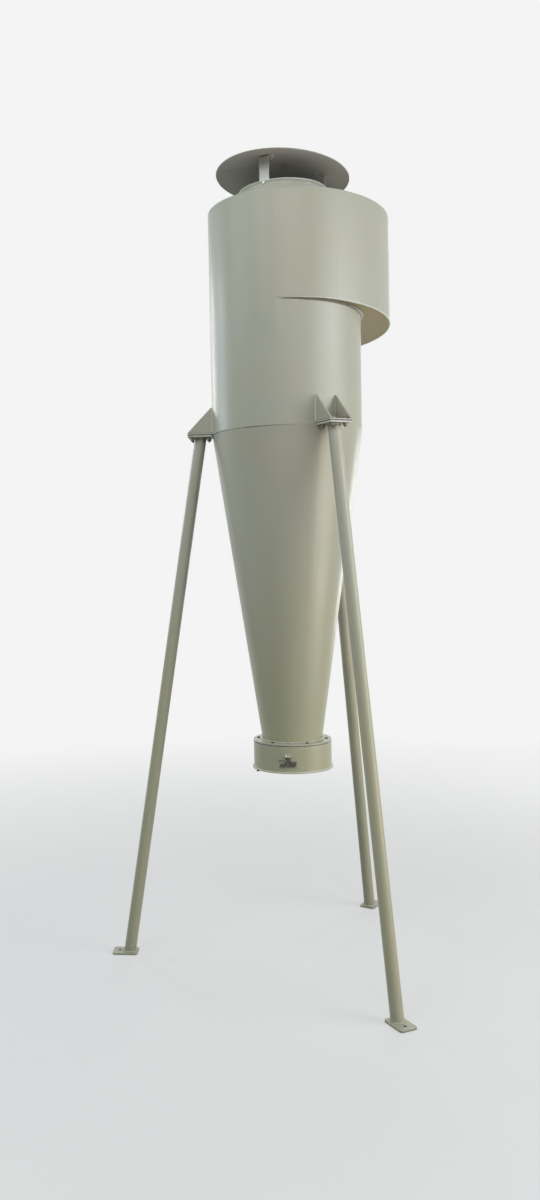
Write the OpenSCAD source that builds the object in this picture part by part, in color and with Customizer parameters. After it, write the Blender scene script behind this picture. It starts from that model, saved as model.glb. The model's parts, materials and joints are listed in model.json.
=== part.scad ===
// Cyclone separator with a scroll inlet, a weather cap and three raked tube legs.
// The cyclone's axis is the Z axis and the floor is at z = 0.
// Angles are counted anticlockwise from +X, seen from above. The front faces -Y.

/* [Body] */
// Outside diameter of the cylinder
body_od = 600; // [540:10:660]
// Sheet thickness of the cylinder, cone and scroll
sheet_t = 3; // [2:0.5:5]
// Height of the roof's top above the floor
roof_z = 3012; // [2952:5:3102]
// Thickness of the roof plate
roof_t = 4; // [3:1:8]
// Height of the seam between the cylinder and the cone
seam_z = 2140; // [2080:10:2200]
// Height of the cone's lower end
cone_end_z = 901; // [850:1:950]
// Outside diameter of the cone's lower end
cone_end_od = 242; // [210:2:260]

/* [Scroll inlet] */
// Outside radius of the scroll's first arc, which starts at the front
scroll_r1 = 361; // [353:1:373]
// Angle that the first arc covers
scroll_turn = 34; // [25:1:44]
// Outside radius of the second arc, which runs on to the inlet duct
scroll_r2 = 524; // [508:1:540]
// Height of the scroll at the front
scroll_h = 407; // [380:1:430]
// Angle by which the scroll's floor falls towards the back
floor_fall = 2; // [0:0.5:4]
// Angle by which the scroll sheet laps onto the cylinder at the front
scroll_lap = 6; // [3:1:10]
// Distance from the cylinder's left side back to the inlet flange's face
inlet_setback = 10; // [0:5:30]
// Width of the inlet flange round the duct
inlet_flange_w = 40; // [35:1:50]
// Thickness of the inlet flange
inlet_flange_t = 6; // [4:1:10]
// Diameter of the inlet flange's holes
inlet_hole_d = 11; // [9:1:14]

/* [Outlet pipe] */
// Outside diameter of the outlet pipe
pipe_od = 350; // [300:5:380]
// Wall thickness of the outlet pipe
pipe_t = 3; // [2:0.5:5]
// Height of the pipe above the roof
pipe_rise = 78; // [60:1:120]
// Depth of the pipe below the roof's top
pipe_drop = 510; // [440:10:600]

/* [Weather cap] */
// Diameter of the cap
cap_od = 530; // [500:5:580]
// Height of the cap's cone
cap_rise = 60; // [40:2:90]
// Sheet thickness of the cap
cap_t = 2; // [1.5:0.5:4]
// Height of the cap's rim above the pipe
cap_gap = 60; // [50:1:90]
// Angle by which the cap has sagged
cap_sag = 6; // [0:1:8]
// Direction in which it has sagged
cap_sag_to = 35; // [0:5:90]
// Width of a cap strap
strap_w = 40; // [30:1:50]
// Thickness of a cap strap
strap_t = 4; // [3:1:6]
// Length of a strap inside the pipe
strap_lap = 45; // [35:1:60]
// Length of a strap's end under the cap, which points to the middle
strap_tab = 42; // [30:1:60]
// Outside radius of a strap's bend
strap_bend = 10; // [8:1:14]
// Direction of the first strap
strap_first = -114; // [-120:1:-100]

/* [Legs] */
// Outside diameter of a leg tube
leg_od = 48.3; // [42:0.1:60.3]
// Wall thickness of a leg tube
leg_wall = 3.2; // [2.6:0.1:5]
// Distance from the axis to a leg's centre line at the floor
leg_foot_r = 694; // [600:2:760]
// Direction of the first leg
leg_first = 180; // [170:1:190]
// Length of a foot plate
foot_l = 104; // [95:1:120]
// Width of a foot plate
foot_w = 70; // [66:1:90]
// Thickness of a foot plate
foot_t = 8; // [6:1:12]
// Corner radius of a foot plate
foot_corner = 10; // [5:1:14]
// Distance from a leg's centre line to the outer end of its foot plate
foot_toe = 69; // [66:1:78]
// Diameter of an anchor hole
anchor_d = 14; // [12:1:18]
// Distance from an anchor hole to the outer end of the foot plate
anchor_inset = 27; // [20:1:30]

/* [Brackets] */
// Distance from the cylinder to a bracket's outer edge
bracket_reach = 98; // [90:1:110]
// Width of a bracket
bracket_w = 92; // [88:1:110]
// Height of a gusset
gusset_h = 100; // [80:2:130]
// Height of a gusset's blunt outer end
gusset_nose = 3; // [2:1:10]
// Width of a gusset's blunt top
gusset_top = 3; // [2:1:12]
// Thickness of the bracket plates and gussets
bracket_t = 6; // [4:1:8]
// Thickness of the plate on top of a leg
leg_plate_t = 8; // [6:1:12]
// Diameter of a bracket's bolt holes
bracket_hole_d = 11; // [9:1:13]
// Spacing of the bracket's bolt holes along the radius
bracket_pitch_r = 66; // [58:1:68]
// Spacing of the bracket's bolt holes across the bracket
bracket_pitch_w = 56; // [54:1:58]

/* [Discharge] */
// Diameter of the cone's flange
flange_od = 316; // [314:1:330]
// Thickness of the cone's flange
flange_t = 6; // [5:1:12]
// Number of flange holes
flange_holes = 6; // [4:1:8]
// Direction of the first flange hole
flange_first = 55; // [40:1:70]
// Circle of the flange holes
flange_pcd = 276; // [270:1:286]
// Diameter of the flange holes
flange_hole_d = 11; // [8:1:12]
// Thickness of the gasket
gasket_t = 2.5; // [1:0.5:4]
// Outside diameter of the collar
collar_od = 315; // [308:1:320]
// Height of the collar with its ring
collar_h = 106; // [90:1:125]
// Wall thickness of the collar
collar_t = 3; // [2:0.5:4]
// Thickness of the collar's ring
collar_ring_t = 6; // [4:1:8]
// Width of the collar's lip
lip_w = 6; // [4:1:24]
// Thickness of the collar's lip
lip_t = 3; // [2:0.5:5]

/* [Latch] */
// Direction of the latch on the collar
latch_dir = -97; // [-105:1:-85]
// Width of the catch plate
catch_w = 24; // [20:1:30]
// Height of the catch plate
catch_h = 15; // [10:1:20]
// Depth of the catch plate below the collar's top
catch_drop = 26; // [20:1:35]
// Thickness of the catch plate
catch_t = 4; // [3:1:6]
// Depth of the catch plate's hook
catch_hook = 10; // [8:1:14]
// Width of the latch's lever
lever_w = 65; // [55:1:80]
// Height of the latch's lever
lever_h = 16; // [10:1:20]
// Diameter of the eye at the lever's right end
lever_eye_d = 18; // [16:1:24]
// Diameter of the hole in the lever's eye
lever_hole_d = 8; // [6:1:11]
// Length of the link from the catch plate to the lever
link_l = 28; // [22:1:32]
// Width of the link
link_w = 10; // [8:1:16]
// Thickness of the link and the lever
link_t = 6; // [4:1:8]

/* [Hidden] */
$fn = 120;

cream = "#d8d6c6";
shade = "#c9c2a8";
dark = "#3a3a38";

// Gap of a welded seat
weld_gap = 0.2;
// Gap between the cap and a strap's end
cap_seat = 0.3;
// Angle by which the slices of the scroll overlap, so that they are one sheet
slice_lap = 1;
// Angle by which a strap's bend overlaps its straight ends
bend_lap = 6;

body_r = body_od / 2;
roof_under = roof_z - roof_t;
scroll_z = roof_z - scroll_h;
inlet_reach = body_r - inlet_setback;

// The scroll's inside touches the cylinder's outside at the front
arc_start = -90;
arc_change = arc_start + scroll_turn;
arc_end = 90;
centre_1 = [0, scroll_r1 - sheet_t - body_r];
centre_2 = centre_1 - (scroll_r2 - scroll_r1) * [cos(arc_change), sin(arc_change)];
duct_y = centre_2.y + scroll_r2;
duct_w = duct_y - body_r;
duct_end = -(inlet_reach - inlet_flange_t);
duct_low = scroll_z - (body_r + duct_y) * tan(floor_fall);

pipe_top = roof_z + pipe_rise;
cap_z = pipe_top + cap_gap;
cap_r = cap_od / 2;
cap_slope = atan(cap_rise / cap_r);
// The strap is flat, so only its edges touch the round pipe
strap_out = sqrt(pow(pipe_od / 2 - pipe_t, 2) - pow(strap_w / 2, 2)) - weld_gap;

bracket_mid = body_r + bracket_reach / 2;
bracket_top = seam_z + bracket_t;
leg_top = seam_z - leg_plate_t;
leg_rake = atan((leg_foot_r - bracket_mid) / leg_top);

gasket_z = cone_end_z - flange_t - gasket_t;
collar_z = gasket_z - collar_h;
cone_end_r = cone_end_od / 2;
flange_bore = cone_end_od - 2 * sheet_t;
latch_z = gasket_z - catch_drop;

function towards(a, d) = [d * cos(a), d * sin(a)];

module ring(od, id, h) {
    difference() {
        cylinder(d = od, h = h);
        translate([0, 0, -1]) cylinder(d = id, h = h + 2);
    }
}

module at_leg(i) {
    rotate([0, 0, leg_first + 120 * (i - 1)]) children();
}

// A slice of a circle from angle a to angle b, less its core
module arc_slice(centre, r, core, a, b) {
    translate(centre) difference() {
        intersection() {
            circle(r);
            polygon([[0, 0], towards(a, 2 * r), towards((a + b) / 2, 2 * r), towards(b, 2 * r)]);
        }
        if (core > 0) circle(core);
    }
}

// Everything that the scroll and the inlet duct cover, seen from above
module scroll_plan() {
    difference() {
        union() {
            arc_slice(centre_1, scroll_r1, 0, arc_start - scroll_lap, arc_change + slice_lap);
            arc_slice(centre_2, scroll_r2, 0, arc_change, arc_end);
            translate([duct_end, body_r]) square([centre_2.x - duct_end, duct_y - body_r]);
        }
        translate([-body_od, 0]) square([body_od, body_r]);
    }
}

// The frame of the scroll's sloping floor, whose underside lies in its XY plane
module on_floor() {
    translate([0, -body_r, scroll_z]) rotate([-floor_fall, 0, 0]) children();
}

// Everything over the floor's upper face, from x = left to the right
module over_floor(left) {
    on_floor() translate([left, -body_od, sheet_t]) cube([3 * body_od, 4 * body_od, 2 * scroll_h]);
}

module body_cylinder() {
    color(cream) difference() {
        translate([0, 0, seam_z]) ring(body_od, body_od - 2 * sheet_t, roof_under - seam_z);
        over_floor(0);
    }
}

module cone() {
    color(cream) rotate_extrude() polygon([
        [cone_end_r - sheet_t, cone_end_z], [cone_end_r, cone_end_z],
        [body_r, seam_z], [body_r - sheet_t, seam_z]
    ]);
}

// A wall of the scroll: its plan raised from the floor to the roof
module scroll_height() {
    intersection() {
        translate([0, 0, duct_low]) linear_extrude(roof_under - duct_low) children();
        over_floor(-1.5 * body_od);
    }
}

module scroll_wall() {
    color(cream) scroll_height() {
        arc_slice(centre_1, scroll_r1, scroll_r1 - sheet_t, arc_start - scroll_lap, arc_change + slice_lap);
        arc_slice(centre_2, scroll_r2, scroll_r2 - sheet_t, arc_change, arc_end);
        translate([duct_end, duct_y - sheet_t]) square([centre_2.x - duct_end, sheet_t]);
    }
}

module inlet_inner_wall() {
    color(cream) scroll_height() translate([duct_end, body_r]) square([-duct_end, sheet_t]);
}

module scroll_floor() {
    color(shade) intersection() {
        translate([0, 0, duct_low - sheet_t]) linear_extrude(scroll_h) difference() {
            scroll_plan();
            circle(body_r);
        }
        on_floor() translate([-1.5 * body_od, -body_od, 0]) cube([3 * body_od, 4 * body_od, sheet_t]);
    }
}

module roof_plate() {
    color(cream) translate([0, 0, roof_under]) linear_extrude(roof_t) difference() {
        union() {
            circle(body_r);
            scroll_plan();
        }
        circle(pipe_od / 2 + weld_gap);
    }
}

module inlet_flange() {
    w = inlet_flange_w;
    duct_h = roof_z - duct_low;
    mid_y = body_r + duct_w / 2;
    mid_z = duct_low + duct_h / 2;
    reach_y = (duct_w + w) / 2;
    reach_z = (duct_h + w) / 2;
    color(cream) difference() {
        translate([-inlet_reach, body_r - w, duct_low - w])
            cube([inlet_flange_t, duct_w + 2 * w, duct_h + 2 * w]);
        scroll_height() translate([-inlet_reach - 1, body_r + sheet_t])
            square([inlet_flange_t + 2, duct_w - 2 * sheet_t]);
        for (y = [-1, 0, 1], z = [-1, 0, 1])
            if (y != 0 || z != 0)
                translate([-inlet_reach - 1, mid_y + y * reach_y, mid_z + z * reach_z])
                    rotate([0, 90, 0]) cylinder(d = inlet_hole_d, h = inlet_flange_t + 2, $fn = 32);
    }
}

module outlet_pipe() {
    color(cream) translate([0, 0, roof_z - pipe_drop])
        ring(pipe_od, pipe_od - 2 * pipe_t, pipe_drop + pipe_rise);
}

// The frame of the cap, whose rim lies in its XY plane
module in_cap() {
    translate([0, 0, cap_z]) rotate([0, 0, cap_sag_to]) rotate([0, cap_sag, 0])
        rotate([0, 0, -cap_sag_to]) children();
}

// The frame on the cap's underside: X runs outwards down its slope, from the middle
module under_cap(a) {
    in_cap() translate([0, 0, cap_rise]) rotate([0, 0, a]) rotate([0, cap_slope, 0]) children();
}

module weather_cap() {
    color(shade) in_cap() rotate_extrude() polygon([
        [0, cap_rise], [cap_r, 0], [cap_r, cap_t], [0, cap_rise + cap_t]
    ]);
}

// A flat strap that stands inside the pipe and bends in under the cap
module cap_strap(i) {
    a = strap_first + 120 * (i - 1);
    sag = cap_sag * cos(a - cap_sag_to);
    lean = cap_slope + sag;
    // The strap's outside and the start of its bend, measured down the cap's slope
    out = (strap_out - cap_rise * sin(sag)) / cos(lean);
    bend = out - strap_bend * tan(45 - lean / 2);
    middle_z = cap_z + cap_rise * cos(cap_sag);
    bend_z = middle_z - bend * sin(lean) - (cap_seat + strap_bend) * cos(lean);
    low = pipe_top - strap_lap;
    inside = strap_bend - strap_t;
    color(cream) {
        rotate([0, 0, a]) translate([strap_out - strap_t, -strap_w / 2, low])
            cube([strap_t, strap_w, bend_z + strap_t / 2 - low]);
        under_cap(a) translate([0, strap_w / 2, -cap_seat]) rotate([90, 0, 0]) linear_extrude(strap_w) {
            translate([out - strap_tab, -strap_t]) square([strap_tab - out + bend, strap_t]);
            arc_slice([bend, -strap_bend], strap_bend, inside, lean - bend_lap, 90 + bend_lap);
        }
    }
}

module bracket_holes(z, h) {
    for (x = [-0.5, 0.5], y = [-0.5, 0.5])
        translate([bracket_mid + x * bracket_pitch_r, y * bracket_pitch_w, z - 1])
            cylinder(d = bracket_hole_d, h = h + 2, $fn = 32);
}

module bracket_plate(i) {
    color(cream) at_leg(i) difference() {
        translate([0, -bracket_w / 2, seam_z]) cube([body_r + bracket_reach, bracket_w, bracket_t]);
        translate([0, 0, seam_z - 1]) cylinder(r = body_r + weld_gap, h = bracket_t + 2);
        bracket_holes(seam_z, bracket_t);
    }
}

module gusset(i, side) {
    out = body_r + bracket_reach;
    color(cream) at_leg(i) difference() {
        translate([0, side * (bracket_w - bracket_t) / 2, bracket_top]) rotate([90, 0, 0])
            linear_extrude(bracket_t, center = true) polygon([
                [body_r / 2, 0], [out, 0], [out, gusset_nose],
                [body_r + gusset_top, gusset_h], [body_r / 2, gusset_h]
            ]);
        translate([0, 0, seam_z]) cylinder(r = body_r + weld_gap, h = bracket_t + gusset_h + 1);
    }
}

module leg_plate(i) {
    color(cream) at_leg(i) difference() {
        translate([body_r + weld_gap, -bracket_w / 2, leg_top])
            cube([bracket_reach - weld_gap, bracket_w, leg_plate_t]);
        bracket_holes(leg_top, leg_plate_t);
    }
}

module leg_tube(i) {
    long = leg_top / cos(leg_rake) + 4 * leg_od;
    color(cream) at_leg(i) intersection() {
        translate([leg_foot_r, 0, 0]) rotate([0, -leg_rake, 0]) translate([0, 0, -2 * leg_od])
            ring(leg_od, leg_od - 2 * leg_wall, long);
        translate([0, -leg_od, foot_t]) cube([leg_foot_r + 2 * leg_od, 2 * leg_od, leg_top - foot_t]);
    }
}

module foot_plate(i) {
    c = foot_corner;
    color(cream) at_leg(i) translate([leg_foot_r + foot_toe - foot_l, 0, 0]) linear_extrude(foot_t)
        difference() {
            union() {
                translate([c, -foot_w / 2]) square([foot_l - 2 * c, foot_w]);
                translate([0, c - foot_w / 2]) square([foot_l, foot_w - 2 * c]);
                for (x = [c, foot_l - c], y = [c - foot_w / 2, foot_w / 2 - c])
                    translate([x, y]) circle(c, $fn = 48);
            }
            translate([foot_l - anchor_inset, 0]) circle(d = anchor_d, $fn = 48);
        }
}

module flange_drill(z, h) {
    for (k = [0 : flange_holes - 1])
        rotate([0, 0, flange_first + k * 360 / flange_holes]) translate([flange_pcd / 2, 0, z - 1])
            cylinder(d = flange_hole_d, h = h + 2, $fn = 32);
}

module cone_flange() {
    color(cream) difference() {
        translate([0, 0, cone_end_z - flange_t]) ring(flange_od, flange_bore, flange_t);
        flange_drill(cone_end_z - flange_t, flange_t);
    }
}

module gasket() {
    color(dark) difference() {
        translate([0, 0, gasket_z]) ring(collar_od, flange_bore, gasket_t);
        flange_drill(gasket_z, gasket_t);
    }
}

module collar_ring() {
    color(cream) difference() {
        translate([0, 0, gasket_z - collar_ring_t]) ring(collar_od, flange_bore, collar_ring_t);
        flange_drill(gasket_z - collar_ring_t, collar_ring_t);
    }
}

module collar() {
    r = collar_od / 2;
    color(cream) rotate_extrude() polygon([
        [r - collar_t, collar_z], [r + lip_w, collar_z], [r + lip_w, collar_z + lip_t],
        [r, collar_z + lip_t], [r, gasket_z - collar_ring_t], [r - collar_t, gasket_z - collar_ring_t]
    ]);
}

module at_latch() {
    rotate([0, 0, latch_dir]) translate([collar_od / 2 + weld_gap, 0, latch_z]) children();
}

// A plate and, at its lower edge, the hook that the latch pulls on
module latch_catch() {
    color(cream) at_latch() translate([0, -catch_w / 2, -catch_h]) {
        cube([catch_t, catch_w, catch_h]);
        cube([catch_hook, catch_w, catch_t]);
    }
}

// The latch lies flat on the collar: its link hangs from the catch and its lever runs across
module latch_lever() {
    half = lever_w / 2;
    eye = half - lever_eye_d / 2;
    low = -lever_h / 2;
    color(dark) at_latch() translate([0, 0, -catch_h - link_l]) rotate([90, 0, 90]) linear_extrude(link_t)
        difference() {
            union() {
                polygon([
                    [-half, low], [eye, low], [eye, -low],
                    [link_w / 2, -low], [link_w / 2, link_l - link_w], [catch_w / 2, link_l],
                    [-catch_w / 2, link_l], [-link_w / 2, link_l - link_w], [-link_w / 2, -low],
                    [-link_w, -low], [-half, 0]
                ]);
                translate([eye, 0]) circle(d = lever_eye_d);
            }
            translate([eye, 0]) circle(d = lever_hole_d);
        }
}

body_cylinder();
cone();
scroll_wall();
inlet_inner_wall();
scroll_floor();
roof_plate();
inlet_flange();
outlet_pipe();
weather_cap();
cone_flange();
gasket();
collar_ring();
collar();
latch_catch();
latch_lever();
for (i = [1 : 3]) {
    cap_strap(i);
    bracket_plate(i);
    gusset(i, -1);
    gusset(i, 1);
    leg_plate(i);
    leg_tube(i);
    foot_plate(i);
}
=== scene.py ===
# Looks of the cyclone separator: paint, rubber and steel, and the small things that the packed
# model leaves out: weld beads, bolts, screws, the cap's lap and the latch's small parts.
# Lengths are metres. The frame is the model's: the cyclone's axis is Z, the floor is z = 0 and
# the front faces -Y. Angles are degrees, counted anticlockwise from +X, seen from above.
import json
import math
import random

import bpy
from mathutils import Matrix, Vector


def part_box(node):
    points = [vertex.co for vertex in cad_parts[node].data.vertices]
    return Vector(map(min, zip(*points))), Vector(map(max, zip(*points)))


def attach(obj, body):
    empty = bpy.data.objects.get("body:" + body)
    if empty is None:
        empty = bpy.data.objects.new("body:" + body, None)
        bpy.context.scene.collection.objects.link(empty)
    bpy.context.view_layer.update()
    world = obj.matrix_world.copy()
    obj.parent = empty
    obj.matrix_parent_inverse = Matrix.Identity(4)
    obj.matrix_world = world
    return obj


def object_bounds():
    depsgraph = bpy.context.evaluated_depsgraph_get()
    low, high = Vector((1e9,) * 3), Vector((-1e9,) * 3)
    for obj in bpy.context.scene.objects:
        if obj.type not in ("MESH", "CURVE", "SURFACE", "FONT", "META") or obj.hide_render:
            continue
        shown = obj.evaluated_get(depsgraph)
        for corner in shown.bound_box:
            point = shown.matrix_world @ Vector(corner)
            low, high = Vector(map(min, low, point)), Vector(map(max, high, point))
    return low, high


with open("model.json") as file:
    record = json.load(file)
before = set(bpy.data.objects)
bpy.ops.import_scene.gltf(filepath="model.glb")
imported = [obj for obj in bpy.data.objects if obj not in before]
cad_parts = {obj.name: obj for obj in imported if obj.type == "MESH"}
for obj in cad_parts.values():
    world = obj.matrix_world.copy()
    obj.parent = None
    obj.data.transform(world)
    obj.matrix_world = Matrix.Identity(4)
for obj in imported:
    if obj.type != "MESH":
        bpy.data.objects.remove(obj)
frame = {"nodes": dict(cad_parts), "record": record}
CAD_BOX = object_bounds()
NODES = frame["nodes"]
SCENE = bpy.context.scene
MM = 0.001

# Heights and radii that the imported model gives
BODY_R = -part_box("body_cylinder")[0].x
SEAM_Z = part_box("cone")[1].z
CONE_END_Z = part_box("cone")[0].z
ROOF_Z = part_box("roof_plate")[1].z
ROOF_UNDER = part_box("roof_plate")[0].z
PIPE_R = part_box("outlet_pipe")[1].x
PIPE_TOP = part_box("outlet_pipe")[1].z
BRACKET_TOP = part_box("bracket_plate_1")[1].z
BRACKET_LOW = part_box("leg_plate_1")[0].z
FOOT_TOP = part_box("foot_plate_1")[1].z
COLLAR_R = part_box("collar_ring")[1].x
COLLAR_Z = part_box("collar")[0].z
DUCT_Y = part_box("scroll_wall")[1].y
DUCT_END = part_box("inlet_flange")[1].x

# Sizes that the part has and its boxes don't show
SHEET = 3 * MM
CONE_END_R = 121 * MM
SCROLL_R1 = 361 * MM
SCROLL_R2 = 524 * MM
SCROLL_START = -90
SCROLL_TURN = 34
FLOOR_FRONT_Z = 2605 * MM
FLOOR_FALL = math.radians(2)
LEG_TURNS = (180, 300, 60)
LEG_R = 24.15 * MM
LEG_FOOT_R = 694 * MM
BRACKET_REACH = 98 * MM
BRACKET_W = 92 * MM
BRACKET_T = 6 * MM
GUSSET_H = 100 * MM
BRACKET_MID = BODY_R + BRACKET_REACH / 2
BRACKET_PITCH_R = 66 * MM
BRACKET_PITCH_W = 56 * MM
FLANGE_FIRST = 55
FLANGE_PITCH_R = 138 * MM
CAP_Z = PIPE_TOP + 60 * MM
CAP_R = 265 * MM
CAP_RISE = 60 * MM
CAP_T = 2 * MM
CAP_SAG = 6
CAP_SAG_TO = 35
STRAP_TURNS = (-114, 6, 126)
STRAP_T = 4 * MM
STRAP_GRIP = 8.5 * MM
LATCH_TURN = -97

CENTRE_1 = Vector((0, SCROLL_R1 - SHEET - BODY_R))
CHANGE = math.radians(SCROLL_START + SCROLL_TURN)
CENTRE_2 = CENTRE_1 - (SCROLL_R2 - SCROLL_R1) * Vector((math.cos(CHANGE), math.sin(CHANGE)))


def floor_under(y):
    """Height of the scroll floor's underside, which falls towards the back."""
    return FLOOR_FRONT_Z - math.tan(FLOOR_FALL) * (y + BODY_R)


def turned(degrees, place=(0, 0, 0)):
    """The frame turned about the cyclone's axis, with its origin moved out to a place in it."""
    return Matrix.Rotation(math.radians(degrees), 4, "Z") @ Matrix.Translation(place)


def around(degrees, radius, z, centre=(0, 0)):
    """A point on a level circle."""
    a = math.radians(degrees)
    return Vector((centre[0] + radius * math.cos(a), centre[1] + radius * math.sin(a), z))


def in_cap():
    """The frame of the cap, whose rim lies in its XY plane."""
    turn = Matrix.Rotation(math.radians(CAP_SAG_TO), 4, "Z")
    sag = turn @ Matrix.Rotation(math.radians(CAP_SAG), 4, "Y") @ turn.inverted()
    return Matrix.Translation((0, 0, CAP_Z)) @ sag


# The turns of the fasteners' frames
FACING_OUT = Matrix.Rotation(math.pi / 2, 4, "Y")
UPSIDE_DOWN = Matrix.Rotation(math.pi, 4, "X")
CAP_SLOPE = Matrix.Rotation(math.atan2(CAP_RISE, CAP_R), 4, "Y")


def cap_under(radius):
    """Height of the cap's underside in its own frame."""
    return CAP_RISE * (1 - radius / CAP_R)


# Meshes


class Shape:
    """The points and faces of a piece while it is built."""

    def __init__(self):
        self.points = []
        self.faces = []

    def add(self, points, faces, place=None):
        first = len(self.points)
        place = place or Matrix()
        self.points += [place @ Vector(p) for p in points]
        self.faces += [[first + i for i in face] for face in faces]

    def rings(self, rings, closed=False, place=None, caps=True):
        """A skin over rings of points. closed joins the last ring to the first."""
        sides = len(rings[0])
        count = len(rings)
        faces = []
        for i in range(count if closed else count - 1):
            low, high = i * sides, (i + 1) % count * sides
            for k in range(sides):
                n = (k + 1) % sides
                faces.append((low + k, low + n, high + n, high + k))
        if caps and not closed:
            faces.append(tuple(reversed(range(sides))))
            faces.append(tuple((count - 1) * sides + k for k in range(sides)))
        self.add([p for ring in rings for p in ring], faces, place)

    def piece(self, name, material, slot=None, sharp=40):
        """The finished object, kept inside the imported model's box and riding on its body."""
        low, high = CAD_BOX
        points = [[min(max(v, lo), hi) for v, lo, hi in zip(p, low, high)] for p in self.points]
        mesh = bpy.data.meshes.new(name)
        mesh.from_pydata(points, [], self.faces)
        mesh.update()
        mesh.shade_smooth()
        mesh.set_sharp_from_angle(angle=math.radians(sharp))
        mesh.materials.append(material)
        obj = bpy.data.objects.new(name, mesh)
        SCENE.collection.objects.link(obj)
        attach(obj, "root")
        return obj


def resampled(path, step, closed):
    """The path again, with points a step apart."""
    path = list(path) + ([path[0]] if closed else [])
    lengths = [(b - a).length for a, b in zip(path, path[1:])]
    count = max(4, round(sum(lengths) / step))
    out = []
    leg, walked = 0, 0.0
    for i in range(count if closed else count + 1):
        goal = sum(lengths) * i / count
        while leg < len(lengths) - 1 and walked + lengths[leg] < goal:
            walked += lengths[leg]
            leg += 1
        share = (goal - walked) / lengths[leg] if lengths[leg] else 0
        out.append(path[leg].lerp(path[leg + 1], min(share, 1)))
    return out


def bead(shape, path, radius, seed, closed=False, sides=10, ripple=0.1, pitch=3.2 * MM):
    """A weld bead along a path: a tube with ripples, an uneven width and rounded ends.
    radius is a number, or a function of the share of the path's length."""
    rng = random.Random(seed)
    step = 1.1 * MM
    points = resampled(path, step, closed)
    count = len(points)
    waves = [(rng.uniform(9, 60), rng.uniform(0, math.tau), rng.uniform(0.02, 0.05)) for _ in range(5)]
    side = None
    rings = []
    for i, p in enumerate(points):
        before = points[i - 1] if i or closed else p
        after = points[(i + 1) % count] if i < count - 1 or closed else p
        along = (after - before).normalized()
        side = (side - along * side.dot(along)).normalized() if side else along.orthogonal().normalized()
        other = along.cross(side)
        share = i / (count - 1)
        size = radius(share) if callable(radius) else radius
        size *= 1 + sum(h * math.sin(f * i * step * math.tau + phase) for f, phase, h in waves)
        size *= 1 + ripple * (i * step / pitch % 1 - 0.5)
        if not closed:
            end = min(i, count - 1 - i) * step / (1.5 * size)
            size *= math.sqrt(max(0.04, 1 - (1 - min(end, 1)) ** 2))
        turns = [k / sides * math.tau for k in range(sides)]
        rings.append([p + size * (math.cos(t) * side + math.sin(t) * other) for t in turns])
    shape.rings(rings, closed)


def hexagon(across, height, sides=36):
    """The rings of a hexagon head with a chamfered top, from its base at z = 0 up."""
    def corner(turn):
        return across / 2 / math.cos((turn + math.pi / 6) % (math.pi / 3) - math.pi / 6)
    flat = across / 2 * 0.97
    turns = [k / sides * math.tau for k in range(sides)]
    base, shoulder, top = [], [], []
    for t in turns:
        r = corner(t)
        drop = max(0, r - flat) * math.tan(math.radians(30))
        base.append(Vector((r * math.cos(t), r * math.sin(t), 0)))
        shoulder.append(Vector((r * math.cos(t), r * math.sin(t), height - drop)))
        top.append(Vector((flat * math.cos(t), flat * math.sin(t), height)))
    return [base, shoulder, top]


def disc(radius, low, high, edge=0.3 * MM, sides=32):
    """The rings of a round disc with small chamfers."""
    levels = ((radius - edge, low), (radius, low + edge), (radius, high - edge), (radius - edge, high))
    return [[around(360 * k / sides, r, z) for k in range(sides)] for r, z in levels]


def thread(radius, low, high, pitch, sides=24):
    """The rings of a screw thread between two heights, with a chamfered end at the low one."""
    rows = max(4, round((high - low) / (pitch / 4)))
    rings = []
    for j in range(rows + 1):
        z = low + (high - low) * j / rows
        ring = []
        for k in range(sides):
            phase = (z / pitch + k / sides) % 1
            depth = 0.6 * pitch * abs(2 * phase - 1)
            worn = max(0, 1 - (z - low) / (1.5 * pitch)) * 0.14 * radius
            ring.append(around(360 * k / sides, radius - depth - worn, z))
        rings.append(ring)
    return rings


def bolt(shape, place, size, grip, turn=0, proud=0.45):
    """A hexagon bolt with washers and a nut. Its head sits on the place's XY plane."""
    place = place @ Matrix.Rotation(math.radians(turn), 4, "Z")
    across, head, nut, washer = 1.6 * size, 0.64 * size, 0.84 * size, 0.2 * size
    shape.rings(disc(size, 0, washer), place=place)
    shape.rings(hexagon(across, head), place=place @ Matrix.Translation((0, 0, washer)))
    under = place @ Matrix.Translation((0, 0, -grip)) @ UPSIDE_DOWN
    shape.rings(disc(size, 0, washer), place=under)
    nut_turn = Matrix.Rotation(0.4, 4, "Z")
    shape.rings(hexagon(across, nut), place=under @ Matrix.Translation((0, 0, washer)) @ nut_turn)
    end = -grip - washer - nut
    shape.rings(thread(size / 2, end - proud * size, end + 0.1 * size, 0.15 * size), place=place)


def dome_head(shape, place, radius, height, sides=24):
    """A low round screw or rivet head, with its base on the place's XY plane."""
    levels = [(radius, -0.5 * MM)]
    for j in range(6):
        t = j / 5 * math.pi / 2 * 0.96
        levels.append((radius * math.cos(t), height * math.sin(t)))
    shape.rings([[around(360 * k / sides, r, z) for k in range(sides)] for r, z in levels], place=place)


# Materials


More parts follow.
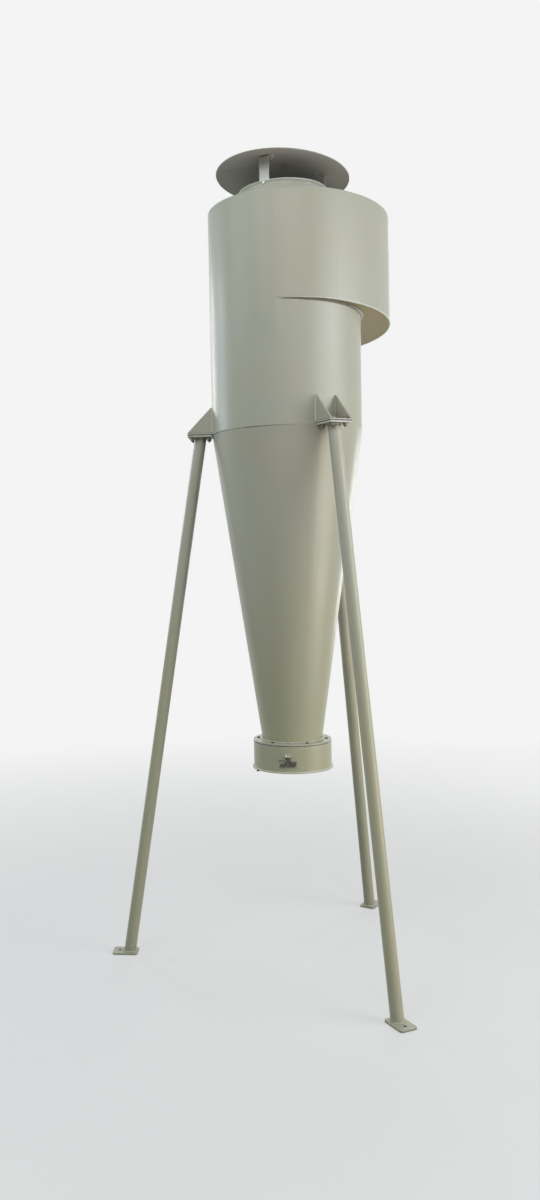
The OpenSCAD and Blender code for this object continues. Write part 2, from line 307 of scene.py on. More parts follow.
class Tree:
    """Short calls for building one material's nodes."""

    def __init__(self, name):
        self.material = bpy.data.materials.new(name)
        self.material.use_nodes = True
        self.tree = self.material.node_tree
        self.shader = self.tree.nodes["Principled BSDF"]
        self.place = self.node("TexCoord").outputs["Object"]
        self.normal = self.node("NewGeometry").outputs["Normal"]

    def feed(self, socket, value):
        if isinstance(value, bpy.types.NodeSocket):
            self.tree.links.new(value, socket)
        else:
            socket.default_value = value

    def node(self, kind, inputs=None, **settings):
        node = self.tree.nodes.new("ShaderNode" + kind)
        for key, value in settings.items():
            setattr(node, key, value)
        for key, value in (inputs or {}).items():
            self.feed(node.inputs[key], value)
        return node

    def maths(self, operation, a, b=0.0, clamp=False):
        return self.node("Math", {0: a, 1: b}, operation=operation, use_clamp=clamp).outputs[0]

    def plus(self, a, b, clamp=False):
        return self.maths("ADD", a, b, clamp)

    def less(self, a, b):
        return self.maths("SUBTRACT", a, b)

    def times(self, a, b):
        return self.maths("MULTIPLY", a, b)

    def most(self, a, b):
        return self.maths("MAXIMUM", a, b)

    def vector(self, operation, a, b):
        node = self.node("VectorMath", {0: a, 1: b}, operation=operation)
        return node.outputs["Value" if operation == "DOT_PRODUCT" else "Vector"]

    def mix(self, share, a, b):
        """Colour a, going over to colour b as share goes from 0 to 1."""
        node = self.node("Mix", {"Factor": share}, data_type="RGBA")
        self.feed(node.inputs[6], a)
        self.feed(node.inputs[7], b)
        return node.outputs[2]

    def stain(self, colour, where, strength, other):
        """The colour, going over to another one by up to a strength from 0 to 1 where the mask says."""
        return self.mix(self.times(where, strength), colour, other)

    def noise(self, scale, detail=3.0, roughness=0.5, stretch=(1, 1, 1), at=None):
        """Noise from 0 to 1. scale is in features a metre, and stretch slows it along an axis."""
        at = self.vector("MULTIPLY", at or self.place, stretch)
        inputs = {"Vector": at, "Scale": scale, "Detail": detail, "Roughness": roughness}
        return self.node("TexNoise", inputs).outputs[0]

    def step(self, value, low, high):
        """0 below low, 1 above high, and smooth between them."""
        inputs = {"Value": value, "From Min": low, "From Max": high}
        return self.node("MapRange", inputs, interpolation_type="SMOOTHSTEP").outputs[0]

    def near(self, value, middle, reach):
        """1 where the value is close to the middle, 0 farther from it than the reach."""
        away = self.maths("ABSOLUTE", self.less(value, middle))
        return self.step(away, reach, reach / 3)

    def axis(self, vector, name):
        return self.node("SeparateXYZ", {0: vector}).outputs[name]

    def edges(self, radius):
        """The normal with its edges rounded, and where the edges are, from 0 to 1."""
        soft = self.node("Bevel", {"Radius": radius}, samples=6).outputs[0]
        turn = self.less(1.0, self.vector("DOT_PRODUCT", soft, self.normal))
        return soft, self.step(turn, 0.02, 0.2)

    def creases(self, distance):
        """How far a place is shut in, from 0 in the open to 1 in a corner."""
        open_air = self.node("AmbientOcclusion", {"Distance": distance}, samples=6).outputs["AO"]
        return self.less(1.0, open_air)

    def outward(self):
        """The level direction away from the cyclone's axis."""
        flat = self.vector("MULTIPLY", self.place, (1, 1, 0))
        return self.node("VectorMath", {0: flat}, operation="NORMALIZE").outputs["Vector"]

    def inside(self):
        """1 on faces that look at the cyclone's axis, 0 on the others."""
        return self.step(self.vector("DOT_PRODUCT", self.outward(), self.normal), -0.3, -0.5)

    def bump(self, heights, normal):
        """The normal tilted by the sum of heights, which are pairs of a noise and metres."""
        total = None
        for noise, metres in heights:
            part = self.times(noise, metres)
            total = self.plus(total, part) if total else part
        node = self.node("Bump", {"Strength": 1.0, "Distance": 1.0, "Height": total, "Normal": normal})
        return node.outputs[0]

    def finish(self, colour, roughness, normal, metallic=None, specular=0.5):
        self.feed(self.shader.inputs["Base Color"], colour)
        self.feed(self.shader.inputs["Roughness"], roughness)
        self.feed(self.shader.inputs["Normal"], normal)
        if metallic is not None:
            self.feed(self.shader.inputs["Metallic"], metallic)
        self.feed(self.shader.inputs["Specular IOR Level"], specular)
        return self.material


CREAM = (0.515, 0.52, 0.42, 1)
CREAM_WARM = (0.515, 0.5, 0.385, 1)
CREAM_COOL = (0.485, 0.512, 0.43, 1)
CREAM_LOW = (0.48, 0.48, 0.305, 1)
# Pale colour for painted highlights on edges, rims and welds that catch the light
HIGHLIGHT_PALE = (0.8, 0.8, 0.72, 1)
# Painted shade on downward faces, warm like the bounce light from the floor
UNDERSIDE_SHADE_TAN = (0.47, 0.395, 0.175, 1)
# Pale grey painted under the cap and straps, for the light they get from below
CAP_UNDERSIDE_LIGHT = (0.8, 0.78, 0.76, 1)
# Pale grey for the straps, partly their own paint, partly painted light against the cap's shadow
STRAP_GREY_LIFTED = (0.86, 0.85, 0.82, 1)
PRIMER = (0.23, 0.2, 0.17, 1)
DUST = (0.4, 0.385, 0.335, 1)
# Grime, and the colour of painted shade in corners, hollows and the scroll's slit
GRIME_AND_SHADE = (0.16, 0.14, 0.1, 1)
# Dark joint lines, and painted shade deep in holes
DARK = (0.03, 0.028, 0.022, 1)
RUST = (0.2, 0.085, 0.035, 1)
# Plated zinc, pale partly as a painted glint
ZINC = (0.78, 0.78, 0.76, 1)
ZINC_GREY = (0.5, 0.495, 0.47, 1)
# Dark old zinc, partly painted shade for the bolts between the gussets
OLD_ZINC = (0.24, 0.235, 0.215, 1)
OLD_ZINC_DARK = (0.11, 0.105, 0.09, 1)
RUBBER = (0.035, 0.035, 0.034, 1)
RUBBER_CHALKY = (0.07, 0.068, 0.062, 1)


def old_paint(t, patch, coat, dull):
    """The paint's colour: cloudy, yellower towards the bottom, with thin dirty runs and grit in it."""
    plain, warm, cool = coat
    colour = t.mix(t.step(t.noise(1.7, 3), 0.35, 0.68), plain, warm)
    colour = t.stain(colour, t.step(patch, 0.45, 0.75), 0.5, cool)
    towards_bottom = t.step(t.axis(t.place, "Z"), 2.0, 0.8)
    colour = t.stain(colour, towards_bottom, 0.8, CREAM_LOW)
    runs = t.noise(34, 5, 0.6, stretch=(1, 1, 0.035))
    runs = t.times(t.step(runs, 0.56, 0.78), t.step(patch, 0.35, 0.65))
    colour = t.stain(colour, runs, 0.12 + 0.3 * dull, DUST)
    grit = t.step(t.noise(420, 2), 0.73, 0.79)
    return t.stain(colour, grit, 0.25, GRIME_AND_SHADE)


def settled_dust(t, patch, fine, dull, feet):
    """Where dust lies: on what faces up, in a film on the dull paint, and inside the shell."""
    up = t.times(t.step(t.axis(t.normal, "Z"), 0.35, 0.95), t.step(fine, 0.25, 0.7))
    film = t.times(t.step(patch, 0.3, 0.8), 0.55 * dull)
    dust = t.most(t.times(up, 0.5 + 0.4 * dull), film)
    inner = t.times(t.inside(), t.step(patch, 0.1, 0.9))
    dust = t.most(dust, t.times(inner, 0.75))
    if feet:
        # Floor dust, and mud kicked up on the lowest hand's breadth
        low = t.step(t.axis(t.place, "Z"), 0.22, 0.0)
        low = t.times(low, t.step(t.noise(26, 6, 0.7), 0.36, 0.66))
        dust = t.most(dust, t.times(low, 0.6))
    return dust


def stand_marks(t, colour, joint):
    """Painted shade inside the brackets, between the gussets, and a pale painted highlight on the edges of
    their plates and the legs'.
    """
    # Painted shade between the gussets
    pocket_shade = t.step(t.creases(70 * MM), 0.3, 0.75)
    colour = t.stain(colour, pocket_shade, 0.65, GRIME_AND_SHADE)
    # Pale painted highlight along the edges of the bracket and leg plates
    plates = t.near(t.axis(t.place, "Z"), (BRACKET_LOW + BRACKET_TOP) / 2, 12 * MM)
    colour = t.stain(colour, plates, 0.7, HIGHLIGHT_PALE)
    toe = t.near(t.axis(t.place, "Z"), BRACKET_TOP + 1 * MM, 2.4 * MM)
    return colour, t.most(joint, t.times(toe, 0.5))


def body_marks(t, colour, joint, patch):
    """The seam's dark line is a joint line, partly a painted shadow, shown in patches on the left only,
    and all above the roof gets a little painted shade from the cap, most of all under the outlet pipe's
    rim."""
    # The seam line's painted shadow is kept to the left side
    joint = t.times(joint, t.step(t.axis(t.place, "X"), 0.1, -0.15))
    joint = t.times(joint, t.step(patch, 0.2, 0.55))
    # Painted shade from the cap on all above the roof
    cap_shade = t.times(t.step(t.axis(t.place, "Z"), ROOF_Z, ROOF_Z + 20 * MM), 0.14)
    under_rim = t.near(t.axis(t.place, "Z"), PIPE_TOP - 9 * MM, 4 * MM)
    cap_shade = t.most(cap_shade, t.times(under_rim, 0.45))
    return t.mix(cap_shade, colour, GRIME_AND_SHADE), joint


def sheet_relief(t, bare, bands):
    """Orange peel, the sheet's slow waves, the depth of the chips, and the marks of rolling."""
    heights = [(t.noise(760, 2), 0.012 * MM), (t.noise(105, 3), 0.05 * MM), (t.noise(5.5, 2), 1.1 * MM)]
    heights.append((t.less(1.0, bare), 0.06 * MM))
    if bands:
        heights.append((t.noise(9, 2, 0.6, at=t.outward()), bands * MM))
    return heights


def paint(name, dull=0.0, corner_shade=0.6, chips=0.2, bands=0.0, feet=False, seam=0.0, below=UNDERSIDE_SHADE_TAN,
          rim=3 * MM, coat=(CREAM, CREAM_WARM, CREAM_COOL)):
    """Cream paint on sheet steel.
    dull adds dust, corner_shade is how much painted shade and dirt lies in corners, chips the bare edges
    and bands the marks of rolling.
    feet is for the stand, and seam is the height of a joint's dark line over the body's seam.
    below is the colour painted on downward faces for the light they get, rim the width of the edges'
    painted highlight and coat the paint's colours."""
    t = Tree(name)
    soft, edge = t.edges(rim)
    patch = t.noise(7, 5, 0.6)
    fine = t.noise(60, 6, 0.65)
    colour = old_paint(t, patch, coat, dull)
    dust = settled_dust(t, patch, fine, dull, feet)
    colour = t.mix(dust, colour, DUST)
    # Downward faces get painted light: a warm tan shade under the body and stand, and a pale grey under
    # the cap and straps
    under = t.step(t.axis(t.normal, "Z"), -0.85, -0.98)
    colour = t.stain(colour, under, 0.9, below)
    # Painted shade and dirt in corners, painted shade deep in the holes, and darkness in the joints
    shut_in = t.creases(18 * MM)
    crease_shade = t.times(t.step(shut_in, 0.3, 0.85), t.step(fine, 0.2, 0.6))
    colour = t.stain(colour, crease_shade, corner_shade, GRIME_AND_SHADE)
    colour = t.stain(colour, t.step(shut_in, 0.82, 0.97), 0.8, DARK)
    joint = t.near(t.axis(t.place, "Z"), SEAM_Z + seam, 3.2 * MM if feet else 2.2 * MM)
    if feet:
        colour, joint = stand_marks(t, colour, joint)
    else:
        colour, joint = body_marks(t, colour, joint, patch)
    # Sharp edges get a pale painted highlight, except in the joints
    colour = t.stain(colour, edge, 0.85, HIGHLIGHT_PALE)
    colour = t.stain(colour, joint, 0.88, DARK)
    # Chips on the edges, down to the primer, with a little rust in the deepest
    bare = t.times(edge, t.step(t.noise(95, 6, 0.7), 0.66 - 0.12 * chips, 0.7 - 0.12 * chips))
    colour = t.stain(colour, bare, 0.9, t.mix(t.step(fine, 0.5, 0.62), PRIMER, RUST))
    rough = t.plus(0.27 + 0.12 * dull, t.times(patch, 0.18))
    rough = t.plus(rough, t.times(t.most(dust, joint), 0.38))
    rough = t.plus(rough, t.times(bare, 0.3), clamp=True)
    shine = t.less(0.6, t.times(t.most(under, joint), 0.5))
    return t.finish(colour, rough, t.bump(sheet_relief(t, bare, bands), soft), specular=shine)


def weld_paint(name, shaded=False, highlit=False):
    """The same paint over a weld, with pale patches of painted highlight, painted shade between the
    ripples and at its edges, and smoke stains. shaded paints shadow on it at the front, where it lies in
    the scroll's narrow slit, and highlit makes it as pale as the edges' painted highlight."""
    t = Tree(name)
    patch = t.noise(24, 5, 0.6)
    fine = t.noise(310, 4, 0.6)
    # Pale patches of painted highlight, all over when highlit
    pale = t.times(t.step(patch, 0.4, 0.7), 1.0 if highlit else 0.35)
    colour = t.mix(pale, HIGHLIGHT_PALE if highlit else CREAM, HIGHLIGHT_PALE)
    colour = t.stain(colour, t.step(fine, 0.5, 0.75), 0.25, DUST)
    # Painted shade between the ripples and where the bead meets the sheet
    crease_shade = t.times(t.step(t.creases(4 * MM), 0.35, 0.9), 0.2 if highlit else 0.6)
    colour = t.mix(crease_shade, colour, GRIME_AND_SHADE)
    # Painted shadow at the front, inside the scroll's slit
    if shaded:
        left = t.step(t.axis(t.place, "X"), 0.315, 0.295)
        front = t.step(t.axis(t.place, "Y"), 0.1, 0.02)
        colour = t.stain(colour, t.times(left, front), 0.8, GRIME_AND_SHADE)
    rough = t.plus(0.3, t.times(fine, 0.25))
    return t.finish(colour, rough, t.bump([(t.noise(900, 3), 0.05 * MM)], t.normal))


def zinc(name, bright, dull):
    """Zinc-plated fasteners in two tones, with paint mist on them and painted shade in their corners."""
    t = Tree(name)
    soft, edge = t.edges(0.4 * MM)
    patch = t.noise(160, 5, 0.65)
    mist = t.times(t.step(t.noise(70, 4), 0.42, 0.66), t.step(edge, 0.9, 0.2))
    colour = t.mix(t.step(patch, 0.35, 0.7), bright, dull)
    colour = t.stain(colour, mist, 0.5, CREAM)
    # Painted shade in the corners
    crease_shade = t.times(t.step(t.creases(4 * MM), 0.45, 0.95), 0.7)
    colour = t.mix(crease_shade, colour, GRIME_AND_SHADE)
    rough = t.plus(0.42, t.times(patch, 0.25))
    metal = t.less(0.65, t.times(mist, 0.6))
    return t.finish(colour, rough, t.bump([(t.noise(1500, 2), 0.01 * MM)], soft), metallic=metal)


def dark_steel():
    """Oiled black steel, mottled, and worn bright along its edges."""
    black, brown = (0.03, 0.03, 0.028, 1), (0.1, 0.092, 0.08, 1)
    dried_oil, bright = (0.3, 0.28, 0.24, 1), (0.42, 0.41, 0.39, 1)
    t = Tree("dark_steel")
    soft, edge = t.edges(1 * MM)
    patch = t.noise(120, 5, 0.6)
    worn = t.times(edge, t.step(patch, 0.38, 0.62))
    colour = t.mix(t.step(patch, 0.3, 0.7), black, brown)
    colour = t.mix(t.step(t.noise(210, 3, 0.6), 0.55, 0.64), colour, dried_oil)
    colour = t.mix(worn, colour, bright)
    dust = t.times(t.step(t.axis(t.normal, "Z"), 0.2, 0.9), 0.4)
    colour = t.mix(dust, colour, DUST)
    rough = t.plus(0.34, t.times(patch, 0.25))
    metal = t.plus(0.35, t.times(worn, 0.6))
    return t.finish(colour, rough, t.bump([(t.noise(800, 3), 0.03 * MM)], soft), metallic=metal)


def rubber():
    """The edge of the flange gasket, with chalk and paint specks."""
    t = Tree("gasket_rubber")
    fine = t.noise(400, 5, 0.6)
    colour = t.mix(t.step(fine, 0.4, 0.7), RUBBER, RUBBER_CHALKY)
    colour = t.stain(colour, t.step(t.noise(130, 3), 0.64, 0.7), 0.5, CREAM)
    rough = t.plus(0.65, t.times(fine, 0.25))
    return t.finish(colour, rough, t.bump([(fine, 0.08 * MM)], t.normal))


def dress_nodes(materials, straps):
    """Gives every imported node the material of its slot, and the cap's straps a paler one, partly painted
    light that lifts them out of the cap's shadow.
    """
    for row in frame["record"]["subparts"]:
        mesh = NODES[row["node"]].data
        mesh.materials.clear()
        is_strap = row["node"].startswith("cap_strap")
        mesh.materials.append(straps if is_strap else materials[row["material_slot"]])


# The weld beads


def scroll_path(centre, radius, first, last, inset, rise):
    """An arc along the floor's underside. inset moves it inwards and rise lifts it."""
    points = []
    for k in range(61):
        p = around(first + (last - first) * k / 60, radius - inset, 0, centre)
        points.append(Vector((p.x, p.y, floor_under(p.y) + rise)))
    return points


def widening(start, end, by):
    """A size that goes from start to end over the first share of a path."""
    return lambda share: start + (end - start) * min(1, share / by)


def body_welds(paint_over):
    seams = Shape()
    size = 5 * MM
    # The seam between the cylinder and the cone, dressed nearly flush
    ring = [around(a, BODY_R - 4.6 * MM, SEAM_Z - 0.5 * MM) for a in range(0, 360, 2)]
    bead(seams, ring, size, seed=1, closed=True, ripple=0.02)
    # The long seams of the cylinder, the cone and the scroll, all towards the back
    body_turn, cone_turn, scroll_turn = 146, 104, 74
    inset = 3 * MM
    low, high = SEAM_Z + 6 * MM, ROOF_UNDER
    path = [around(body_turn, BODY_R - inset, z) for z in (low, high)]
    bead(seams, path, size, seed=2, ripple=0.05)
    ends = ((CONE_END_R, CONE_END_Z + 4 * MM), (BODY_R, SEAM_Z - 6 * MM))
    path = [around(cone_turn, r - inset, z) for r, z in ends]
    bead(seams, path, size, seed=3, ripple=0.05)
    low = floor_under(CENTRE_2.y + SCROLL_R2) + 4 * MM
    back = around(scroll_turn, SCROLL_R2 - inset, 0, CENTRE_2)
    bead(seams, [Vector((back.x, back.y, z)) for z in (low, high)], size, seed=4, ripple=0.05)
    seams.piece("body_seams", paint_over, "body_paint")


def scroll_welds(highlit, shaded):
    """Two passes under the scroll's floor, where it meets the cylinder, with painted shadow in the slit,
    and one between them and one along its outer edge, painted pale as highlights. All start thin at the
    front."""
    fillet = Shape()
    swell, grown = widening(0.3, 1, 0.12), widening(0, 1, 0.45)
    first, last, steps = -95, 83.2, 90
    for rise, out, thin, thick, seed in ((-9.5, 0.6, 2.2, 3.0, 11), (-1.2, 6.6, 1.6, 3.4, 12)):
        path = []
        for k in range(steps + 1):
            share = k / steps
            p = around(first + (last - first) * share, BODY_R + out * MM * grown(share), 0)
            lift = rise * MM * (0.55 + 0.45 * grown(share)) * swell(share)
            path.append(Vector((p.x, p.y, floor_under(p.y) + lift)))
        size = widening(thin * MM, thick * MM, 0.45)
        bead(fillet, path, lambda share: swell(share) * size(share), seed=seed)
    inner_y = BODY_R - 1 * MM
    duct = [Vector((x, inner_y, floor_under(inner_y) - 1 * MM)) for x in (-4 * MM, DUCT_END)]
    bead(fillet, duct, 4 * MM, seed=13)
    fillet.piece("scroll_floor_weld", shaded, "body_paint")

    middle = Shape()
    path = []
    for a in range(-38, 84, 2):
        p = around(a, BODY_R + 5.4 * MM, 0)
        path.append(Vector((p.x, p.y, floor_under(p.y) - 6.6 * MM)))
    bead(middle, path, widening(0.4 * MM, 2.1 * MM, 0.18), seed=15)
    middle.piece("scroll_floor_bead", highlit, "body_paint")

    rim = Shape()
    change = SCROLL_START + SCROLL_TURN
    inset, rise = 0.9 * MM, 1.4 * MM
    path = scroll_path(CENTRE_1, SCROLL_R1, SCROLL_START - 4, change, inset, rise)
    path += scroll_path(CENTRE_2, SCROLL_R2, change + 1, 90, inset, rise)
    path.append(Vector((DUCT_END, DUCT_Y - inset, floor_under(DUCT_Y) + rise)))
    bead(rim, path, widening(0.8 * MM, 3 * MM, 0.15), seed=14, ripple=0.03)
    rim.piece("scroll_edge_weld", highlit, "body_paint")


def eased(share):
    """A share from 0 to 1 that starts and ends gently."""
    share = min(1, max(0, share))
    return share * share * (3 - 2 * share)


def scroll_start(material):
    """The filler that blends the end of the scroll sheet into the cylinder. It thins out to the left
    and downwards, and right of the slit's end it lets the step under the sheet grow slowly."""
    blend = Shape()
    low = floor_under(-BODY_R) + 1 * MM
    # Where it starts, where it has reached the sheet's face, where the slit ends, and where it ends
    first, full, slit_end, last = -124, -98, -97.4, -89
    # Its ends are buried in the cylinder, its face stands a little proud of the sheet, and beyond
    # the slit's end it is hidden behind it
    buried, proud, hidden, core_depth = 0.4 * MM, 0.15 * MM, 0.3 * MM, 1.5 * MM
    # The feather is its thinning part, below the sheet's lower edge
    rows, feather_rows, feather, columns = 40, 21, 210 * MM, 48
    # The lift of each row over the one below it, which ends the last one inside the roof
    lift = 0.01 * MM
    rings = []
    for j in range(rows + 1):
        outer, core = [], []
        for k in range(columns + 1):
            a = first + (last - first) * k / columns
            # Distance out to the scroll sheet's face in this direction, from the cyclone's axis
            toward = Vector((math.cos(math.radians(a)), math.sin(math.radians(a))))
            along = toward.dot(CENTRE_1)
            sheet = along + math.sqrt(along**2 - CENTRE_1.length_squared + SCROLL_R1**2)
            depth = eased((a - first) / (full - first))
            if j <= feather_rows:
                z = low - feather * (1 - j / feather_rows)
                depth *= eased(j / feather_rows) * (1 - eased((a - slit_end) / (last - slit_end)))
            else:
                z = low + (ROOF_UNDER - low) * (j - feather_rows) / (rows - feather_rows)
            start = BODY_R - buried
            skin = start + (sheet + proud - start) * depth
            if j > feather_rows and a > slit_end + 2:
                skin = sheet - hidden
            outer.append(around(a, skin, z + lift * j))
            core.append(around(a, BODY_R - core_depth, z + lift * j))
        rings.append(outer + core[::-1])
    blend.rings(rings)
    blend.piece("scroll_start_blend", material, "body_paint", sharp=60)


def discharge_welds(paint_over, highlit):
    """One bead joins the cone to its flange, and the other dresses the collar's lip."""
    weld = Shape()
    ring = [around(a, CONE_END_R + 2.2 * MM, CONE_END_Z + 1.8 * MM) for a in range(0, 360, 3)]
    bead(weld, ring, 3.6 * MM, seed=21, closed=True)
    weld.piece("cone_flange_weld", paint_over, "body_paint")
    # The collar's lip bead is painted pale as a highlight
    lip = Shape()
    ring = [around(a, COLLAR_R - 0.2 * MM, COLLAR_Z + 3 * MM) for a in range(0, 360, 3)]
    bead(lip, ring, 2.2 * MM, seed=22, closed=True)
    lip.piece("collar_lip_weld", highlit, "body_paint")


def roof_welds(paint_over, highlit):
    welds = Shape()
    ring = [around(a, PIPE_R + 1.2 * MM, ROOF_Z + 1 * MM) for a in range(0, 360, 3)]
    bead(welds, ring, 3.8 * MM, seed=31, closed=True)
    welds.piece("roof_pipe_weld", paint_over, "body_paint")

    # The pipe's rim is dressed to a half-round, painted pale as a highlight
    lip = Shape()
    ring = [around(a, PIPE_R, PIPE_TOP - 3 * MM) for a in range(0, 360, 2)]
    bead(lip, ring, 3 * MM, seed=32, closed=True, ripple=0.02)
    lip.piece("pipe_rim", highlit, "body_paint")

    # Short tacks on the pipe's rim, which hold the straps, painted pale as highlights
    tacks = Shape()
    reach, level = PIPE_R - 3.4 * MM, PIPE_TOP - 0.4 * MM
    for i, turn in enumerate(STRAP_TURNS):
        for side in (-1, 1):
            path = [around(turn + side * a, reach, level) for a in (0.8, 3.2, 5.4)]
            bead(tacks, path, 2.6 * MM, seed=33 + 2 * i + side)
    tacks.piece("strap_tacks", highlit, "body_paint")


def flange_welds(paint_over):
    """Round the duct, behind the inlet flange."""
    welds = Shape()
    x = DUCT_END + 1 * MM
    inner, outer = BODY_R - 1 * MM, DUCT_Y + 1 * MM
    top = ROOF_Z + 1 * MM
    corners = [(y, floor_under(y) - 1 * MM) for y in (inner, outer)] + [(outer, top), (inner, top)]
    path = [Vector((x, y, z)) for y, z in corners]
    for k, (a, b) in enumerate(zip(path, path[1:] + path[:1])):
        bead(welds, [a, b], 3.6 * MM, seed=41 + k)
    welds.piece("inlet_flange_weld", paint_over, "body_paint")


def body_face(y):
    """How far out the cylinder's face is, beside a bracket's middle line."""
    return math.sqrt(BODY_R**2 - y**2)


def bracket_welds(paint_over, highlit):
    """The beads outside the gussets are painted pale as highlights, and those between them carry painted
    shade.
    """
    z0, size = BRACKET_TOP + 1 * MM, 2.6 * MM
    end = BODY_R + BRACKET_REACH - 9 * MM
    for i, turn in enumerate(LEG_TURNS, 1):
        outer, inner = Shape(), Shape()
        place = turned(turn)
        for s, side in enumerate((-1, 1)):
            for f, face in enumerate((BRACKET_W / 2, BRACKET_W / 2 - BRACKET_T)):
                away = 1.1 * MM * (1 if f == 0 else -1)
                y = side * (face + away)
                r = body_face(y) + 1 * MM
                path = [place @ Vector((r, y, z)) for z in (z0, BRACKET_TOP + GUSSET_H - 2 * MM)]
                bead(inner if f else outer, path, size, seed=100 * i + 10 * s + f)
                if f == 1:
                    path = [place @ Vector((x, y, z0)) for x in (r, end)]
                    bead(inner, path, size, seed=100 * i + 10 * s + 5)
        for z, seed in ((BRACKET_TOP + 0.8 * MM, 61), (SEAM_Z - 1.2 * MM, 62)):
            path = []
            for k in range(13):
                y = (BRACKET_W / 2 - 8 * MM) * (k / 6 - 1)
                path.append(place @ Vector((body_face(y) + 1 * MM, y, z)))
            bead(inner, path, 2.4 * MM, seed=100 * i + seed)
        outer.piece("bracket_outer_welds_%d" % i, highlit, "stand_paint")
        inner.piece("bracket_inner_welds_%d" % i, paint_over, "stand_paint")


def leg_welds(paint_over):
    rake = math.atan2(LEG_FOOT_R - BRACKET_MID, BRACKET_LOW)
    out = 1.2 * MM
    for i, turn in enumerate(LEG_TURNS, 1):
        welds = Shape()
        for z, lift, seed in ((FOOT_TOP, 1.4 * MM, 71), (BRACKET_LOW, -1.4 * MM, 72)):
            middle = LEG_FOOT_R - math.tan(rake) * (z + lift)
            path = []
            for k in range(72):
                a = math.radians(5 * k)
                x = middle + (LEG_R / math.cos(rake) + out) * math.cos(a)
                path.append(turned(turn) @ Vector((x, (LEG_R + out) * math.sin(a), z + lift)))
            bead(welds, path, 3 * MM, seed=100 * i + seed, closed=True)
        welds.piece("leg_welds_%d" % i, paint_over, "stand_paint")


# The fasteners


def bracket_bolts(material):
    """Four M10 bolts hold each leg's plate under its bracket."""
    rng = random.Random(5)
    for i, turn in enumerate(LEG_TURNS, 1):
        bolts = Shape()
        for x in (-0.5, 0.5):
            for y in (-0.5, 0.5):
                at = (BRACKET_MID + x * BRACKET_PITCH_R, y * BRACKET_PITCH_W, BRACKET_TOP)
                bolt(bolts, turned(turn, at), 10 * MM, BRACKET_TOP - BRACKET_LOW, rng.uniform(0, 60))
        bolts.piece("bracket_bolts_%d" % i, material, sharp=28)


def flange_bolts(material):
    """Six black bolts hold the cone's flange, the gasket and the collar's ring together."""
    bolts = Shape()
    grip = CONE_END_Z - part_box("collar_ring")[0].z
    for k in range(6):
        bolt(bolts, turned(FLANGE_FIRST + 60 * k, (FLANGE_PITCH_R, 0, CONE_END_Z)), 6.4 * MM, grip, 13 * k)
    bolts.piece("flange_bolts", material, sharp=28)


def cap_fasteners(material):
    """Each strap has a bolt through the pipe and one through the cap, with its head below. The
    front one has a third beside it, with its nut and a long end of thread below the cap."""
    gap = 0.5 * MM

    def under_cap(turn, radius, drop):
        place = in_cap() @ turned(turn, (radius, 0, cap_under(radius) - drop))
        return place @ CAP_SLOPE @ UPSIDE_DOWN

    for i, turn in enumerate(STRAP_TURNS, 1):
        bolts = Shape()
        place = turned(turn, (PIPE_R, 0, PIPE_TOP - 10 * MM)) @ FACING_OUT
        bolt(bolts, place, 6 * MM, STRAP_GRIP, 17 * i)
        place = under_cap(turn, 146 * MM, STRAP_T + gap)
        bolt(bolts, place, 7 * MM, STRAP_T + CAP_T + gap, 11 * i, proud=0.3)
        if i == 1:
            nut_down = Matrix.Translation((0, 0, -CAP_T)) @ UPSIDE_DOWN
            place = under_cap(turn + 8, 153 * MM, 0) @ nut_down
            bolt(bolts, place, 8 * MM, CAP_T, 25, proud=0.8)
        bolts.piece("cap_bolts_%d" % i, material, sharp=28)


def pipe_screws(material):
    """Pan-head screws round the outlet pipe's rim."""
    screws = Shape()
    for turn in (-55, 65, 185):
        place = turned(turn, (PIPE_R - 0.2 * MM, 0, PIPE_TOP - 15 * MM)) @ FACING_OUT
        dome_head(screws, place, 5 * MM, 3 * MM)
    screws.piece("pipe_screws", material, sharp=50)


def cap_lap(material, rivet_material):
    """The cap is bent from one sheet, whose ends lap along a radius and are riveted."""
    seam_turn = -174.5
    width, first_r, last_r, steps = 26 * MM, 12 * MM, CAP_R - 0.5 * MM, 24
    # The lap's section: shares of its width, and mm out of the sheet
    section = ((0, -0.3), (0, 1.4), (0.35, 1.4), (1, 0.07), (1, -0.3))
    lap = Shape()
    for under in (True, False):
        way = -1 if under else 1
        rings = []
        for j in range(steps + 1):
            r = first_r + (last_r - first_r) * j / steps
            z = cap_under(r) + (0 if under else CAP_T)
            edge = [Vector((r, -way * width * share, z + way * out * MM)) for share, out in section]
            rings.append([turned(seam_turn) @ p for p in (edge if under else edge[::-1])])
        lap.rings(rings, place=in_cap())
    lap.piece("cap_lap", material, "cap_paint", sharp=25)

    rivets = Shape()
    for j in range(5):
        r = 60 * MM + 47 * MM * j
        for out, flip, height in ((-1.2 * MM, UPSIDE_DOWN, 1.8 * MM), (CAP_T, Matrix(), 1.5 * MM)):
            place = in_cap() @ turned(seam_turn, (r, 9 * MM, cap_under(r) + out)) @ CAP_SLOPE
            dome_head(rivets, place @ flip, 3.6 * MM, height)
    rivets.piece("cap_rivets", rivet_material, sharp=50)


def cap_rim(material):
    """The cap's rim is turned over a thin wire."""
    rim = Shape()
    path = [in_cap() @ around(a, CAP_R - 1.4 * MM, 0.6 * MM) for a in range(0, 360, 2)]
    bead(rim, path, 2 * MM, seed=81, closed=True, ripple=0, sides=12)
    rim.piece("cap_rim", material, "cap_paint", sharp=80)


def lip_bolt(material):
    """A screw's head under the collar's lip."""
    shape = Shape()
    washer = 1.2 * MM
    place = turned(-152, (COLLAR_R + 1 * MM, 0, COLLAR_Z)) @ UPSIDE_DOWN
    shape.rings(disc(5.4 * MM, 0, washer), place=place)
    shape.rings(hexagon(10 * MM, 5.4 * MM), place=place @ Matrix.Translation((0, 0, washer)))
    shape.piece("lip_bolt", material, sharp=28)


